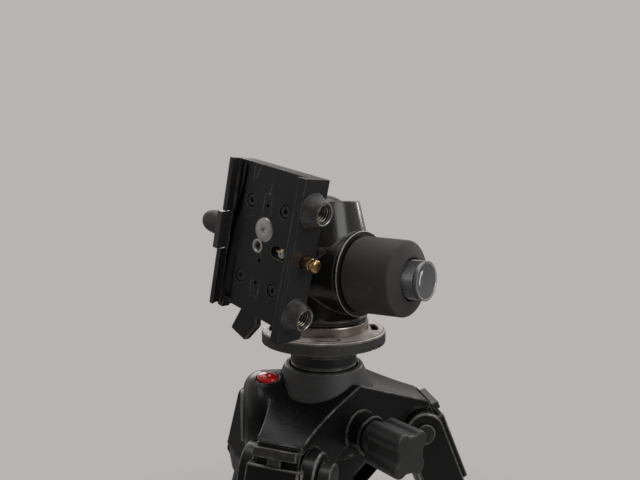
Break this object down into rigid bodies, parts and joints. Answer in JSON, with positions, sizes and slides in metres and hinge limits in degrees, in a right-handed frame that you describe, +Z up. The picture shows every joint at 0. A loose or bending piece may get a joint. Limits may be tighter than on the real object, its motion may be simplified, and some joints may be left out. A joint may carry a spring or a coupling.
{
  "type": "tripod with ball head",
  "caption": "Black camera tripod with splayed telescopic legs, a centre column and a ball head whose sliding-plate clamp is dropped sideways into the head notch.",
  "frame": {"origin": "on the floor, on the axis of the column", "axes": "+Z up along the column; -Y towards the leg that faces the viewer; +X to the viewer's right"},
  "size_m": [0.5284, 0.4624, 0.7302],
  "materials": {
    "casting_black": "satin black paint",
    "collar_black": "fine textured black paint",
    "plastic_black": "moulded black plastic",
    "button_red": "glossy red",
    "steel": "plain steel",
    "tube_metal": "black anodised",
    "bronze": "bronze coloured, satin",
    "ring_metal": "black with a bright edge",
    "ball_dark": "dark anodised, polished",
    "dial_metal": "dark anodised",
    "grip_rubber": "matte",
    "clamp_black": "satin black, worn at the edges",
    "brass": "plain brass",
    "foot_rubber": "matte"
  },
  "bodies": {
    "tripod": {"shoulder_casting": "casting_black", "column_collar": "collar_black", "column_bush": "plastic_black", "socket_cap": "collar_black", "pivot_bolts": "collar_black"},
    "release_button": {"release_button": "button_red"},
    "column": {"column_tube": "tube_metal", "top_plate": "collar_black", "head_stud": "steel", "column_end_cap": "collar_black", "head_base": "bronze"},
    "column_lock": {"column_lock_knob": "plastic_black"},
    "head": {"head_housing": "casting_black", "knob_seat_ring": "ring_metal", "ball_seat": "casting_black"},
    "main_lock": {"lock_knob_core": "dial_metal", "lock_knob_grip": "grip_rubber", "clamp_spindle": "steel"},
    "friction_dial": {"friction_dial": "dial_metal"},
    "pan_lock": {"pan_lock_knob": "plastic_black"},
    "ball": {"ball": "ball_dark"},
    "clamp": {"ball_stem": "casting_black", "clamp_body": "clamp_black", "clamp_screws": "steel", "fixing_screw": "steel", "twist_screw": "steel"},
    "lock_lever": {"lock_lever": "clamp_black"},
    "jaw": {"clamp_jaw": "clamp_black", "jaw_knob": "clamp_black"},
    "safety_pin": {"safety_pin": "brass"},
    "leg_1": {"leg_1_head": "casting_black", "leg_1_upper_tube": "tube_metal", "leg_1_upper_clamp": "plastic_black"},
    "leg_1_catch": {"leg_1_catch": "collar_black"},
    "leg_1_upper_lever": {"leg_1_upper_lever": "plastic_black"},
    "leg_1_middle": {"leg_1_middle_tube": "tube_metal", "leg_1_middle_clamp": "plastic_black"},
    "leg_1_middle_lever": {"leg_1_middle_lever": "plastic_black"},
    "leg_1_lower": {"leg_1_lower_tube": "tube_metal", "leg_1_foot": "foot_rubber"},
    "leg_2": {"leg_2_head": "casting_black", "leg_2_upper_tube": "tube_metal", "leg_2_upper_clamp": "plastic_black"},
    "leg_2_catch": {"leg_2_catch": "collar_black"},
    "leg_2_upper_lever": {"leg_2_upper_lever": "plastic_black"},
    "leg_2_middle": {"leg_2_middle_tube": "tube_metal", "leg_2_middle_clamp": "plastic_black"},
    "leg_2_middle_lever": {"leg_2_middle_lever": "plastic_black"},
    "leg_2_lower": {"leg_2_lower_tube": "tube_metal", "leg_2_foot": "foot_rubber"},
    "leg_3": {"leg_3_head": "casting_black", "leg_3_upper_tube": "tube_metal", "leg_3_upper_clamp": "plastic_black"},
    "leg_3_catch": {"leg_3_catch": "collar_black"},
    "leg_3_upper_lever": {"leg_3_upper_lever": "plastic_black"},
    "leg_3_middle": {"leg_3_middle_tube": "tube_metal", "leg_3_middle_clamp": "plastic_black"},
    "leg_3_middle_lever": {"leg_3_middle_lever": "plastic_black"},
    "leg_3_lower": {"leg_3_lower_tube": "tube_metal", "leg_3_foot": "foot_rubber"}
  },
  "joints": [
    {"name": "column_rise", "type": "slide", "parent": "tripod", "child": "column", "axis": [0, 0, 1], "range_m": [0, 0.215]},
    {"name": "column_lock_turn", "type": "hinge", "parent": "tripod", "child": "column_lock", "pos_m": [0.06582, -0.038, 0.56531], "axis": [0.866, -0.5, 0], "range_deg": [0, 180]},
    {"name": "release_press", "type": "slide", "parent": "tripod", "child": "release_button", "axis": [-0.1294, 0.2241, -0.9659], "range_m": [0, 0.0015], "stiffness_N_per_m": 600, "springref_m": -0.002},
    {"name": "pan", "type": "hinge", "parent": "column", "child": "head", "pos_m": [0, 0, 0.62231], "axis": [0, 0, 1], "continuous": true},
    {"name": "main_lock_turn", "type": "hinge", "parent": "head", "child": "main_lock", "pos_m": [0, 0, 0.66001], "axis": [0.9415, -0.3371, 0], "range_deg": [0, 150]},
    {"name": "friction_dial_turn", "type": "hinge", "parent": "main_lock", "child": "friction_dial", "pos_m": [0, 0, 0.66001], "axis": [0.9415, -0.3371, 0], "range_deg": [0, 270]},
    {"name": "pan_lock_turn", "type": "hinge", "parent": "head", "child": "pan_lock", "pos_m": [-0.01222, 0.02586, 0.63831], "axis": [-0.4274, 0.9041, 0], "range_deg": [0, 180]},
    {"name": "ball_tilt", "type": "hinge", "parent": "head", "child": "ball", "pos_m": [0, 0, 0.68801], "axis": [-0.9415, 0.3371, 0], "range_deg": [0, 124]},
    {"name": "ball_spin", "type": "hinge", "parent": "ball", "child": "clamp", "pos_m": [0, 0, 0.68801], "axis": [-0.3371, -0.9415, 0], "continuous": true},
    {"name": "lock_lever_swing", "type": "hinge", "parent": "clamp", "child": "lock_lever", "pos_m": [-0.03144, -0.03176, 0.65301], "axis": [-0.3371, -0.9415, 0], "range_deg": [0, 35]},
    {"name": "jaw_open", "type": "slide", "parent": "clamp", "child": "jaw", "axis": [-0.9143, 0.3274, 0.2385], "range_m": [0, 0.003]},
    {"name": "safety_press", "type": "slide", "parent": "clamp", "child": "safety_pin", "axis": [-0.9143, 0.3274, 0.2385], "range_m": [0, 0.004], "stiffness_N_per_m": 400, "springref_m": -0.002},
    {"name": "leg_1_fold", "type": "hinge", "parent": "tripod", "child": "leg_1", "pos_m": [0, -0.062, 0.55631], "axis": [1, 0, 0], "range_deg": [0, 22]},
    {"name": "leg_1_catch_draw", "type": "slide", "parent": "leg_1", "child": "leg_1_catch", "axis": [0, -0.3746, -0.9272], "range_m": [0, 0.0032], "stiffness_N_per_m": 600, "springref_m": -0.003},
    {"name": "leg_1_upper_lever_swing", "type": "hinge", "parent": "leg_1", "child": "leg_1_upper_lever", "pos_m": [0.0237, -0.2493, 0.09272], "axis": [0, 0.3746, 0.9272], "range_deg": [0, 110]},
    {"name": "leg_1_middle_lever_swing", "type": "hinge", "parent": "leg_1_middle", "child": "leg_1_middle_lever", "pos_m": [0.0217, -0.26616, 0.05099], "axis": [0, 0.3746, 0.9272], "range_deg": [0, 110]},
    {"name": "leg_1_middle_slide", "type": "slide", "parent": "leg_1", "child": "leg_1_middle", "axis": [0, -0.3746, -0.9272], "range_m": [0, 0.4]},
    {"name": "leg_1_lower_slide", "type": "slide", "parent": "leg_1_middle", "child": "leg_1_lower", "axis": [0, -0.3746, -0.9272], "range_m": [0, 0.4]},
    {"name": "leg_2_fold", "type": "hinge", "parent": "tripod", "child": "leg_2", "pos_m": [0.05369, 0.031, 0.55631], "axis": [-0.5, 0.866, 0], "range_deg": [0, 22]},
    {"name": "leg_2_catch_draw", "type": "slide", "parent": "leg_2", "child": "leg_2_catch", "axis": [0.3244, 0.1873, -0.9272], "range_m": [0, 0.0032], "stiffness_N_per_m": 600, "springref_m": -0.003},
    {"name": "leg_2_upper_lever_swing", "type": "hinge", "parent": "leg_2", "child": "leg_2_upper_lever", "pos_m": [0.20405, 0.14518, 0.09272], "axis": [-0.3244, -0.1873, 0.9272], "range_deg": [0, 110]},
    {"name": "leg_2_middle_lever_swing", "type": "hinge", "parent": "leg_2_middle", "child": "leg_2_middle_lever", "pos_m": [0.21965, 0.15187, 0.05099], "axis": [-0.3244, -0.1873, 0.9272], "range_deg": [0, 110]},
    {"name": "leg_2_middle_slide", "type": "slide", "parent": "leg_2", "child": "leg_2_middle", "axis": [0.3244, 0.1873, -0.9272], "range_m": [0, 0.4]},
    {"name": "leg_2_lower_slide", "type": "slide", "parent": "leg_2_middle", "child": "leg_2_lower", "axis": [0.3244, 0.1873, -0.9272], "range_m": [0, 0.4]},
    {"name": "leg_3_fold", "type": "hinge", "parent": "tripod", "child": "leg_3", "pos_m": [-0.05369, 0.031, 0.55631], "axis": [-0.5, -0.866, 0], "range_deg": [0, 22]},
    {"name": "leg_3_catch_draw", "type": "slide", "parent": "leg_3", "child": "leg_3_catch", "axis": [-0.3244, 0.1873, -0.9272], "range_m": [0, 0.0032], "stiffness_N_per_m": 600, "springref_m": -0.003},
    {"name": "leg_3_upper_lever_swing", "type": "hinge", "parent": "leg_3", "child": "leg_3_upper_lever", "pos_m": [-0.22775, 0.10413, 0.09272], "axis": [0.3244, -0.1873, 0.9272], "range_deg": [0, 110]},
    {"name": "leg_3_middle_lever_swing", "type": "hinge", "parent": "leg_3_middle", "child": "leg_3_middle_lever", "pos_m": [-0.24135, 0.11429, 0.05099], "axis": [0.3244, -0.1873, 0.9272], "range_deg": [0, 110]},
    {"name": "leg_3_middle_slide", "type": "slide", "parent": "leg_3", "child": "leg_3_middle", "axis": [-0.3244, 0.1873, -0.9272], "range_m": [0, 0.4]},
    {"name": "leg_3_lower_slide", "type": "slide", "parent": "leg_3_middle", "child": "leg_3_lower", "axis": [-0.3244, 0.1873, -0.9272], "range_m": [0, 0.4]}
  ],
  "couplings": [
    {"joint": "lock_lever_swing", "follows": "jaw_open", "rad_per_m": 203.62}
  ]
}
